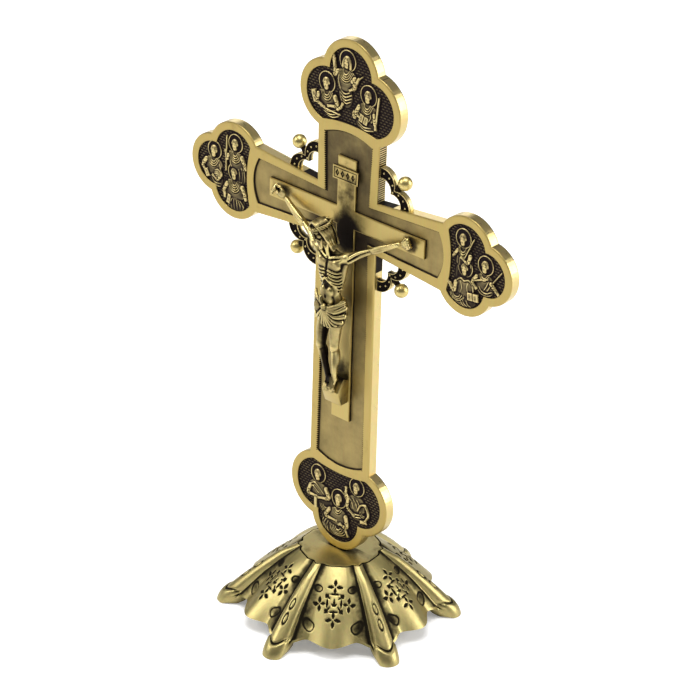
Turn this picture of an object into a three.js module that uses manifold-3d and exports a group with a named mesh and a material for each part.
// Altar cross: a relief-decorated table crucifix standing on a flared six-rib foot.
// Units are millimetres, +Z is up, and the cross faces -Y.
// The origin is the middle of the foot, on the surface that it stands on.

import * as THREE from 'three';
import { ParametricGeometry } from 'three/addons/geometries/ParametricGeometry.js';
import { mergeVertices } from 'three/addons/utils/BufferGeometryUtils.js';
import Module from 'manifold-3d';

const wasm = await Module();
wasm.setup();

// ---------------------------------------------------------------- driving dimensions

const capTop = 25;                      // top of the foot, where the cross stands
const crossingHeight = 155.2;           // middle of the crossing above the table
const plateThickness = 4.2;
const recessDepth = 0.9;
const gap = 0.3;                        // clearance between neighbouring pieces

const armHalfWidth = 13.5;              // upright, at the crossing
const armHalfHeight = 9.65;             // crossbar, at the crossing
const panelHalfWidth = 9.7;             // sunk panel of the upright
const panelHalfHeight = 7.0;            // sunk panel of the crossbar

// A lobed end is three round lobes. Distances run outwards from the end of the straight arm.
const tallLobes = {
  armHalf: 13.75, panelHalf: 10.5,
  side: { along: 12.1, across: 9.6, radius: 12.8 },
  tip: { along: 22.1, radius: 12.3 },
};
const wideLobes = {
  armHalf: 12.45, panelHalf: 8.6,
  side: { along: 10.0, across: 6.35, radius: 11.75 },
  tip: { along: 19.3, radius: 11.0 },
};
const ends = [
  { name: 'right', angle: 0, reach: 42.2, lobes: wideLobes },
  { name: 'top', angle: 90, reach: 30.4, lobes: tallLobes },
  { name: 'left', angle: 180, reach: 42.2, lobes: wideLobes },
  { name: 'bottom', angle: 270, reach: 95.8, lobes: tallLobes },
];
const rimWidth = 3.0;                   // raised rim round each plaque
const plaqueStart = 2.6;                // plaque's corners, past the end of the arm
const plaqueMiddle = 4.0;               // crown of the plaque's arched edge
const panelStop = -1.5;                 // panel's corners, short of the end of the arm
const panelMiddle = 0.9;                // crown of the panel's arched end

const beam = { halfWidth: 4.1, halfHeight: 3.4, halfLength: 35.1, top: 22.2, bottom: -77.5 };
const beamFront = 2.5;                  // front of the inner cross, ahead of the plate's middle
const titulus = { width: 11.3, height: 5.0, middle: 16.1, thickness: 0.8 };

const bracket = {
  outerCentre: [1.0, 7.7], outerRadius: 5.8,
  innerCentre: [1.3, 5.8], innerRadius: 3.65,
  halfThickness: 1.0, crotch: 4.8, crest: 6.7,
};
const finial = { radius: 2.4, offset: 10.3, neckRadius: 0.8 };

const foot = {
  ribs: 6, turn: 7.3, toeRadius: 44, toeShoulder: 40, ribHalfAngle: 6,
  lobeRadius: 36.6, fluteRadius: 33.3, fluteAngle: 16, panelLift: 5,
  capCorner: 15, seatHeight: 22.6, rim: 1.0, bulge: 0.9,
  flangeUnder: 20.6, flangeHole: 6.2, innerTop: 11.6, shell: 2.4, toePad: 5.5, stepsPerRib: 12,
};
const tang = { width: 7, bottom: 20.8 };
const stud = { radius: 2.0, bottom: 13 };
const washer = { radius: 8, bore: 2.3, top: 20.5, bottom: 19.5 };
const nut = { acrossFlats: 7, bottom: 16.3, top: 19.4 };

// ---------------------------------------------------------------- helpers

/** Closed geometry to a solid that can be joined and cut. */
function toSolid(geometry) {
  const bare = geometry.clone();
  bare.deleteAttribute('normal');
  bare.deleteAttribute('uv');
  const merged = mergeVertices(bare, 1e-4);
  return new wasm.Manifold(new wasm.Mesh({
    numProp: 3,
    vertProperties: new Float32Array(merged.attributes.position.array),
    triVerts: new Uint32Array(merged.index.array),
  }));
}

function toGeometry(solid) {
  const mesh = solid.getMesh();
  const geometry = new THREE.BufferGeometry();
  geometry.setAttribute('position', new THREE.BufferAttribute(mesh.vertProperties, 3));
  geometry.setIndex(new THREE.BufferAttribute(mesh.triVerts, 1));
  geometry.computeVertexNormals();
  return geometry;
}

function join(geometries) {
  return geometries.map(toSolid).reduce((whole, next) => whole.add(next));
}

/** Outline in the plane of the cross, given thickness between two depths ahead of its middle. */
function slab(shape, back, front) {
  const geometry = new THREE.ExtrudeGeometry(shape, {
    depth: front - back, bevelEnabled: false, curveSegments: 9,
  });
  return geometry.translate(0, 0, back).rotateX(Math.PI / 2);
}

function rectangle(left, right, low, high) {
  return new THREE.Shape([[left, low], [right, low], [right, high], [left, high]]
    .map(([x, y]) => new THREE.Vector2(x, y)));
}

/** Points on a circle from one angle to another, both included. */
function arc(centre, radius, from, to, steps) {
  return Array.from({ length: steps + 1 }, (_, i) => {
    const angle = from + (to - from) * i / steps;
    return new THREE.Vector2(centre[0] + radius * Math.cos(angle), centre[1] + radius * Math.sin(angle));
  });
}

/** Shallow arched line between (start, -half) and (start, half) whose crown is at (middle, 0). */
function archedEdge(start, middle, half, steps) {
  return Array.from({ length: steps + 1 }, (_, i) => {
    const across = -half + 2 * half * i / steps;
    return new THREE.Vector2(middle + (start - middle) * (across / half) ** 2, across);
  });
}

/** Ellipsoid at a place, as wide, deep and high as given. */
function ellipsoid(place, half, segments = 10) {
  return new THREE.SphereGeometry(1, segments, Math.max(6, segments * 0.6 | 0))
    .scale(...half).translate(...place);
}

/** Tapered limb between two places, with a round joint at its start. */
function limb(from, to, startRadius, endRadius, segments = 7) {
  const a = new THREE.Vector3(...from);
  const b = new THREE.Vector3(...to);
  const along = b.clone().sub(a);
  const tube = new THREE.CylinderGeometry(endRadius, startRadius, along.length(), segments);
  tube.applyQuaternion(new THREE.Quaternion()
    .setFromUnitVectors(new THREE.Vector3(0, 1, 0), along.clone().normalize()));
  tube.translate(...a.clone().add(b).multiplyScalar(0.5).toArray());
  return join([tube, ellipsoid(from, [startRadius, startRadius, startRadius], 7)]);
}

function brass(colour, roughness) {
  return new THREE.MeshStandardMaterial({ color: colour, metalness: 1, roughness });
}

const paleBrass = brass(0xbfa663, 0.34);
const agedBrass = brass(0x8d7a48, 0.42);
const darkBrass = brass(0x4a3f2e, 0.55);
const steel = brass(0x9a9a98, 0.35);

function named(name, geometry, material) {
  const mesh = new THREE.Mesh(geometry, material);
  mesh.name = name;
  return mesh;
}

// ---------------------------------------------------------------- cross plate

/** Outline of one lobed end, from its lower corner round to its upper one, shrunk by inset. */
function lobedEdge(lobes, start, inset) {
  const { side, tip } = lobes;
  const sideRadius = side.radius - inset;
  const tipRadius = tip.radius - inset;
  const first = Math.acos((start - side.along) / sideRadius);
  const gapAlong = tip.along - side.along;
  const distance = Math.hypot(gapAlong, side.across);
  const lean = Math.atan2(side.across, gapAlong);
  const reach = (distance ** 2 + sideRadius ** 2 - tipRadius ** 2) / (2 * distance);
  const last = Math.acos(reach / sideRadius) - lean;
  const notch = [side.along + sideRadius * Math.cos(last), side.across + sideRadius * Math.sin(last)];
  const tipAngle = Math.atan2(notch[1], notch[0] - tip.along);
  const upper = arc([side.along, side.across], sideRadius, last, first, 8);
  const lower = upper.map((p) => new THREE.Vector2(p.x, -p.y)).reverse();
  const nose = arc([tip.along, 0], tipRadius, -tipAngle, tipAngle, 8).slice(1, -1);
  return [...lower, ...nose, ...upper];
}

/** Points of one end, turned from its own directions to the cross's. */
function placed(points, end) {
  const turn = THREE.MathUtils.degToRad(end.angle);
  return points.map((p) => new THREE.Vector2(p.x + end.reach, p.y).rotateAround(new THREE.Vector2(), turn));
}

/** Cross-shaped outline: each end's points, then the inner corner that leads to the next end. */
function crossShape(pointsOf, cornerX, cornerY) {
  const corners = [[cornerX, cornerY], [-cornerX, cornerY], [-cornerX, -cornerY], [cornerX, -cornerY]];
  return new THREE.Shape(ends.flatMap((end, i) => [
    ...placed(pointsOf(end), end), new THREE.Vector2(...corners[i]),
  ]));
}

const crossOutline = crossShape((end) => lobedEdge(end.lobes, 0, 0), armHalfWidth, armHalfHeight);
const panelOutline = crossShape(
  (end) => archedEdge(panelStop, panelMiddle, end.lobes.panelHalf, 6), panelHalfWidth, panelHalfHeight);

function plaqueShape(end, inset) {
  const edge = lobedEdge(end.lobes, plaqueStart + inset, rimWidth + inset);
  const half = edge[edge.length - 1].y;
  const arch = archedEdge(plaqueStart + inset, plaqueMiddle + inset, half, 6).reverse().slice(1, -1);
  return new THREE.Shape(placed([...edge, ...arch], end));
}

const plateFront = plateThickness / 2;
const floor = plateFront - recessDepth;

function crossBody() {
  const lobeBottom = capTop - crossingHeight;
  const body = join([
    slab(crossOutline, -plateFront, plateFront),
    slab(rectangle(-tang.width / 2, tang.width / 2, tang.bottom - crossingHeight, lobeBottom + 3),
      -plateFront, plateFront),
    new THREE.CylinderGeometry(stud.radius, stud.radius, tang.bottom - stud.bottom + 1, 20)
      .rotateX(Math.PI / 2)
      .translate(0, 0, (tang.bottom + 1 + stud.bottom) / 2 - crossingHeight),
  ]);
  const sinkings = [slab(panelOutline, floor, plateFront + 1),
    ...ends.map((end) => slab(plaqueShape(end, 0), floor, plateFront + 1))];
  return sinkings.map(toSolid).reduce((left, cut) => left.subtract(cut), body);
}

// ---------------------------------------------------------------- plaque reliefs

// Each figure is half-length: place of its face, and its body's middle and half size, across and up.
const figures = {
  top: [
    { face: [-2.0, 56.8], body: [0.3, 47.2], half: [4.4, 6.4] },
    { face: [-10.7, 46.4], body: [-10.8, 39.6], half: [4.8, 4.9] },
    { face: [7.7, 47.0], body: [8.3, 39.6], half: [4.6, 5.2] },
  ],
  left: [
    { face: [-52.1, 10.4], body: [-51.5, 4.8], half: [4.2, 3.6] },
    { face: [-62.3, 4.4], body: [-62.0, -2.2], half: [4.3, 4.6] },
    { face: [-51.9, -1.2], body: [-51.6, -8.4], half: [4.7, 5.0] },
  ],
  right: [
    { face: [51.0, 10.0], body: [52.2, 3.6], half: [3.9, 3.9] },
    { face: [52.5, -1.0], body: [52.6, -8.4], half: [4.6, 5.0] },
    { face: [60.7, 3.2], body: [62.0, -3.4], half: [4.2, 3.9] },
  ],
  bottom: [
    { face: [-9.9, -104.4], body: [-10.2, -111.6], half: [4.4, 5.0] },
    { face: [0.4, -110.9], body: [0.2, -118.8], half: [4.9, 5.8] },
    { face: [8.0, -103.3], body: [8.8, -110.6], half: [4.6, 5.0] },
  ],
};
const halo = { radius: 4.0, thickness: 0.35 };

/** Ground plate of a plaque with its three haloed half-length figures standing out of it. */
function relief(end) {
  const back = floor + 0.02;
  const ground = back + 0.3;
  const pieces = [slab(plaqueShape(end, gap), back, ground)];
  for (const { face, body, half } of figures[end.name]) {
    const disc = new THREE.Shape().absarc(face[0], face[1], halo.radius, 0, Math.PI * 2);
    pieces.push(slab(disc, ground - 0.1, ground + halo.thickness));
    pieces.push(ellipsoid([face[0], -ground, face[1]], [1.5, 1.0, 2.0], 8));
    pieces.push(ellipsoid([body[0], -ground, body[1]], [half[0], 1.0, half[1]], 10));
  }
  const wall = slab(plaqueShape(end, gap), back, ground + 3);
  return join(pieces).intersect(toSolid(wall));
}

// ---------------------------------------------------------------- inner cross and titulus

function innerCross() {
  const { halfWidth, halfHeight, halfLength, top, bottom } = beam;
  return join([
    slab(rectangle(-halfWidth, halfWidth, bottom, top), floor + 0.02, beamFront),
    slab(rectangle(-halfLength, halfLength, -halfHeight, halfHeight), floor + 0.02, beamFront),
  ]);
}

/** Small blank plate with a raised border, above the figure's head. */
function titulusPlate() {
  const { width, height, middle, thickness } = titulus;
  const border = 0.6;
  const front = beamFront + thickness;
  const plate = slab(rectangle(-width / 2, width / 2, middle - height / 2, middle + height / 2),
    beamFront + 0.02, front);
  const field = slab(rectangle(-width / 2 + border, width / 2 - border,
    middle - height / 2 + border, middle + height / 2 - border), front - 0.25, front + 1);
  return toSolid(plate).subtract(toSolid(field));
}

// ---------------------------------------------------------------- corner brackets and finials

/** Two-lobed bracket that fills one inner corner, with its corner at the origin, grown outwards by a margin. */
function bracketShape(margin) {
  const { outerCentre: [ox, oy], innerCentre: [ix, iy], innerRadius, crotch } = bracket;
  const outerRadius = bracket.outerRadius + margin;
  const crest = bracket.crest + margin * Math.SQRT2;
  const outerStart = Math.acos((gap - ox) / outerRadius);
  const outerEnd = Math.atan2(crest - oy, crest - ox);
  const innerStart = Math.acos((gap - ix) / innerRadius);
  const innerEnd = Math.atan2(crotch - iy, crotch - ix);
  const outer = arc([ox, oy], outerRadius, outerStart, outerEnd, 7);
  const inner = arc([ix, iy], innerRadius, innerStart, innerEnd, 5);
  const mirror = (points) => points.map((p) => new THREE.Vector2(p.y, p.x)).reverse();
  return new THREE.Shape([
    ...outer.slice(0, -1), ...mirror(outer), ...mirror(inner).reverse().slice(0, -1),
    ...inner.slice().reverse(),
  ].reverse());
}

/** The bracket in the corner with the given signs, cut clear of the flared arms. */
function cornerBracket(signX, signZ) {
  const { halfThickness } = bracket;
  const whole = slab(bracketShape(0), -halfThickness, halfThickness);
  whole.translate(armHalfWidth, 0, armHalfHeight);
  const solid = toSolid(whole).subtract(armClearance);
  return solid.scale([signX, 1, signZ]);
}

/** The upper right arm sides pushed out by the gap, which the brackets are cut back to. */
function armSides() {
  const span = 25;
  const slope = (tallLobes.armHalf - armHalfWidth) / ends[1].reach;
  const flare = (wideLobes.armHalf - armHalfHeight) / (ends[0].reach - armHalfWidth);
  const upright = new THREE.Shape([[0, 0], [armHalfWidth + gap, 0],
    [armHalfWidth + gap + slope * span, armHalfHeight + span], [0, armHalfHeight + span]]
    .map(([x, y]) => new THREE.Vector2(x, y)));
  const crossbar = new THREE.Shape([[0, 0], [armHalfWidth + span, 0],
    [armHalfWidth + span, armHalfHeight + gap + flare * span], [0, armHalfHeight + gap - flare * armHalfWidth]]
    .map(([x, y]) => new THREE.Vector2(x, y)));
  return join([slab(upright, -3, 3), slab(crossbar, -3, 3)]);
}
const armClearance = armSides();

/** Ball on a short neck, whose foot stands clear of the bracket's crest. */
function ballFinial(signX, signZ) {
  const { radius, offset, neckRadius } = finial;
  const ball = [armHalfWidth + offset, 0, armHalfHeight + offset];
  const footPlace = [armHalfWidth + bracket.crest, 0, armHalfHeight + bracket.crest];
  const neck = new THREE.CylinderGeometry(neckRadius, neckRadius * 1.4,
    Math.hypot(ball[0] - footPlace[0], ball[2] - footPlace[2]), 10);
  neck.rotateX(Math.PI / 2).rotateY(Math.PI / 4);
  neck.translate((ball[0] + footPlace[0]) / 2, 0, (ball[2] + footPlace[2]) / 2);
  const seat = slab(bracketShape(gap), -finial.radius, finial.radius).translate(armHalfWidth, 0, armHalfHeight);
  const solid = join([neck, ellipsoid(ball, [radius, radius, radius], 12)]).subtract(toSolid(seat));
  return solid.scale([signX, 1, signZ]);
}

// ---------------------------------------------------------------- corpus, foot rest and nails

const pose = {
  palm: [29.0, -3.7, 1.0], wrist: [25.4, -4.0, -0.6], elbow: [16.1, -5.6, -5.6], shoulder: [6.0, -8.0, -11.0],
  head: [-2.3, -11.2, -2.6], neck: [-0.6, -9.4, -9.8],
  chest: [0, -8.8, -16.8], waist: [-0.2, -8.8, -24.4], hips: [0, -8.2, -31.0],
  kneeLeft: [-3.3, -9.6, -46.4], kneeRight: [3.0, -9.8, -45.4],
  ankleLeft: [-1.2, -7.6, -60.0], ankleRight: [1.2, -7.2, -59.4],
  feet: [0.2, -8.8, -62.0],
};
const nailRadius = 0.35;
const footRest = {
  halfWidth: 3.7,
  profile: [[2.52, -61.0], [2.52, -69.8], [6.4, -69.8], [8.4, -64.2], [4.9, -60.0]],
};

function nailPlaces() {
  const { palm, feet } = pose;
  return {
    nail_hand_right: { place: [palm[0], palm[2]], tip: 2.6, head: 5.0 },
    nail_hand_left: { place: [-palm[0], palm[2]], tip: 2.6, head: 5.0 },
    nail_feet: { place: [feet[0], feet[2] + 1.4], tip: 8.0, head: 10.6 },
  };
}

/** Round bar along Y between two depths ahead of the plate's middle. */
function pin(place, back, front, radius, segments = 10) {
  return new THREE.CylinderGeometry(radius, radius, front - back, segments)
    .translate(place[0], -(front + back) / 2, place[1]);
}

function nail({ place, tip, head }) {
  return join([pin(place, tip, head + 0.2, nailRadius, 8), pin(place, head, head + 0.5, 0.8)]);
}

/** Block under the feet, its top sloping down to the front and the back, grown on all sides by a margin. */
function footRestWedge(margin) {
  const outline = new THREE.Shape(footRest.profile.map(([depth, z]) => new THREE.Vector2(depth, z)));
  const wide = footRest.halfWidth * 2 + margin * 2;
  const wedge = new THREE.ExtrudeGeometry(outline, { depth: wide, bevelEnabled: false });
  wedge.translate(0, 0, -wide / 2).rotateX(Math.PI / 2).rotateZ(-Math.PI / 2);
  return wedge.translate(0, -margin, margin);
}

function corpus() {
  const { palm, wrist, elbow, shoulder, head, neck, chest, waist, hips, feet } = pose;
  const pieces = [
    toSolid(ellipsoid(head, [3.1, 3.4, 4.4], 10)),
    toSolid(ellipsoid([head[0] + 0.4, head[1] + 1.4, head[2] - 1.6], [3.7, 2.8, 5.0], 10)),
    limb(neck, head, 1.9, 1.7),
    toSolid(ellipsoid(chest, [6.6, 3.8, 6.4], 11)),
    toSolid(ellipsoid(waist, [4.9, 3.2, 7.4], 10)),
    toSolid(ellipsoid(hips, [5.9, 4.2, 6.6], 11)),
    toSolid(ellipsoid(feet, [2.3, 2.0, 2.8], 8)),
  ];
  for (const side of [-1, 1]) {
    const at = ([x, y, z]) => [side * x, y, z];
    pieces.push(limb(neck, at(shoulder), 2.0, 1.9));
    pieces.push(limb(at(shoulder), at(elbow), 2.3, 1.5));
    pieces.push(limb(at(elbow), at(wrist), 1.5, 1.0));
    pieces.push(limb(at(wrist), at(palm), 1.0, 0.9));
    pieces.push(toSolid(ellipsoid(at(palm), [4.1, 0.95, 1.9], 9)));
  }
  const legs = [[-1, pose.kneeLeft, pose.ankleLeft], [1, pose.kneeRight, pose.ankleRight]];
  for (const [side, knee, ankle] of legs) {
    pieces.push(limb([hips[0] + side * 2.9, hips[1], hips[2]], knee, 3.0, 2.2));
    pieces.push(limb(knee, ankle, 2.3, 1.4));
    pieces.push(limb(ankle, feet, 1.4, 1.3));
  }
  const whole = pieces.reduce((sum, next) => sum.add(next));
  const bores = Object.values(nailPlaces())
    .map(({ place, tip, head: front }) => toSolid(pin(place, tip - gap, front + 3, nailRadius + gap)));
  const seats = Object.values(nailPlaces())
    .map(({ place, head: front }) => toSolid(pin(place, front - gap, front + 3, 0.8 + gap)));
  return [...bores, ...seats, toSolid(footRestWedge(gap))].reduce((left, cut) => left.subtract(cut), whole);
}

// ---------------------------------------------------------------- flared foot

/** Radius of the six-sided cap in a direction, in degrees from a rib. */
function capRadius(degrees) {
  const fromPanel = THREE.MathUtils.degToRad(THREE.MathUtils.euclideanModulo(degrees, 60) - 30);
  return foot.capCorner * Math.cos(Math.PI / 6) / Math.cos(fromPanel);
}

/** Lower edge of the foot: radius, height and wall width in a direction, in degrees from a rib. */
function footEdge(degrees) {
  const fromRib = Math.abs(THREE.MathUtils.euclideanModulo(degrees + 30, 60) - 30);
  if (fromRib <= foot.ribHalfAngle + 0.01) {
    const roundness = Math.sqrt(Math.max(0, 1 - (fromRib / foot.ribHalfAngle) ** 2));
    const radius = foot.toeShoulder + (foot.toeRadius - foot.toeShoulder) * roundness;
    return { radius, height: 0, wall: foot.toePad };
  }
  const { fluteRadius, fluteAngle, lobeRadius, panelLift } = foot;
  if (fromRib < fluteAngle) {
    const share = (fluteAngle - fromRib) / (fluteAngle - foot.ribHalfAngle);
    const height = panelLift * (1.04 - 0.3 * share ** 3);
    return { radius: fluteRadius + 4 * share ** 2, height, wall: foot.shell };
  }
  const share = (1 - Math.cos(Math.PI * (fromRib - fluteAngle) / (30 - fluteAngle))) / 2;
  const height = panelLift * (1.04 - 0.08 * share);
  return { radius: fluteRadius + (lobeRadius - fluteRadius) * share, height, wall: foot.shell };
}

/** Closed section of the foot's wall in a direction, as radius and height pairs. */
function footSection(degrees) {
  const edge = footEdge(degrees);
  const top = capRadius(degrees);
  const outerSteps = 5;
  const innerSteps = 3;
  const outer = Array.from({ length: outerSteps + 1 }, (_, i) => {
    const share = i / outerSteps;
    const swell = foot.bulge * Math.sin(Math.PI * share);
    return [THREE.MathUtils.lerp(top + foot.rim, edge.radius, share) + swell * 0.6,
      THREE.MathUtils.lerp(capTop - 0.2, edge.height, share) + swell * 0.8];
  });
  const inner = Array.from({ length: innerSteps + 1 }, (_, i) => {
    const share = 1 - i / innerSteps;
    return [THREE.MathUtils.lerp(foot.innerTop, edge.radius - edge.wall, share),
      THREE.MathUtils.lerp(foot.flangeUnder, edge.height, share)];
  });
  const seat = top + 0.15;
  return [...outer, ...inner, [foot.flangeHole, foot.flangeUnder], [foot.flangeHole, foot.seatHeight],
    [seat, foot.seatHeight], [seat, capTop - 0.2]];
}

/** Flared hollow wall with six raised ribs that end in round toes. */
function baseSkirt() {
  const around = foot.ribs * foot.stepsPerRib;
  const stations = footSection(0).length;
  const surface = (u, v, target) => {
    const degrees = (around - Math.round(u * around)) % around * 360 / around;
    const [radius, z] = footSection(degrees)[Math.round(v * stations) % stations];
    const angle = THREE.MathUtils.degToRad(degrees);
    target.set(radius * Math.sin(angle), -radius * Math.cos(angle), z);
  };
  return toSolid(new ParametricGeometry(surface, around, stations));
}

/** Six-sided plate let into the top of the foot, slotted for the cross's tang. */
function baseCap() {
  const outline = new THREE.Shape(Array.from({ length: 36 }, (_, i) => {
    const angle = THREE.MathUtils.degToRad(i * 10);
    const radius = capRadius(i * 10) - 0.15;
    return new THREE.Vector2(radius * Math.sin(angle), -radius * Math.cos(angle));
  }));
  const slot = new THREE.Path([[1, 1], [-1, 1], [-1, -1], [1, -1]].map(([sx, sy]) => new THREE.Vector2(
    sx * (tang.width / 2 + gap), sy * (plateFront + gap))
    .rotateAround(new THREE.Vector2(), -THREE.MathUtils.degToRad(foot.turn))));
  outline.holes.push(slot);
  const bottom = foot.seatHeight + 0.02;
  return toSolid(new THREE.ExtrudeGeometry(outline, { depth: capTop - bottom, bevelEnabled: false })
    .translate(0, 0, bottom));
}

function studWasher() {
  const { radius, bore, top, bottom } = washer;
  const profile = [[bore, bottom], [radius, bottom], [radius, top], [bore, top], [bore, bottom]];
  return toSolid(new THREE.LatheGeometry(profile.map(([r, z]) => new THREE.Vector2(r, z)), 24)
    .rotateX(Math.PI / 2));
}

function studNut() {
  const { acrossFlats, bottom, top } = nut;
  const outline = new THREE.Shape(arc([0, 0], acrossFlats / Math.sqrt(3), 0, Math.PI * 5 / 3, 5));
  outline.holes.push(new THREE.Path(arc([0, 0], stud.radius + gap, 0, Math.PI * 2 * 19 / 20, 19)));
  return toSolid(new THREE.ExtrudeGeometry(outline, { depth: top - bottom, bevelEnabled: false })
    .translate(0, 0, bottom));
}

// ---------------------------------------------------------------- the object

const cross = new THREE.Group();
cross.position.z = crossingHeight;
cross.add(named('cross_body', toGeometry(crossBody()), paleBrass));
for (const end of ends) cross.add(named(`relief_${end.name}`, toGeometry(relief(end)), darkBrass));
cross.add(named('inner_cross', toGeometry(innerCross()), paleBrass));
cross.add(named('titulus_plate', toGeometry(titulusPlate()), paleBrass));
cross.add(named('corpus', toGeometry(corpus()), agedBrass));
cross.add(named('foot_rest', toGeometry(toSolid(footRestWedge(0))), paleBrass));
for (const [name, size] of Object.entries(nailPlaces())) {
  cross.add(named(name, toGeometry(nail(size)), darkBrass));
}
for (const [side, signX] of [['left', -1], ['right', 1]]) {
  for (const [level, signZ] of [['upper', 1], ['lower', -1]]) {
    cross.add(named(`bracket_${level}_${side}`, toGeometry(cornerBracket(signX, signZ)), darkBrass));
    cross.add(named(`finial_${level}_${side}`, toGeometry(ballFinial(signX, signZ)), paleBrass));
  }
}

const base = new THREE.Group();
base.rotation.z = THREE.MathUtils.degToRad(foot.turn);
base.add(named('base_skirt', toGeometry(baseSkirt()), agedBrass));
base.add(named('base_cap', toGeometry(baseCap()), agedBrass));
base.add(named('stud_washer', toGeometry(studWasher()), steel));
base.add(named('stud_nut', toGeometry(studNut()), steel));

const altarCross = new THREE.Group();
altarCross.add(cross, base);

export default altarCross;
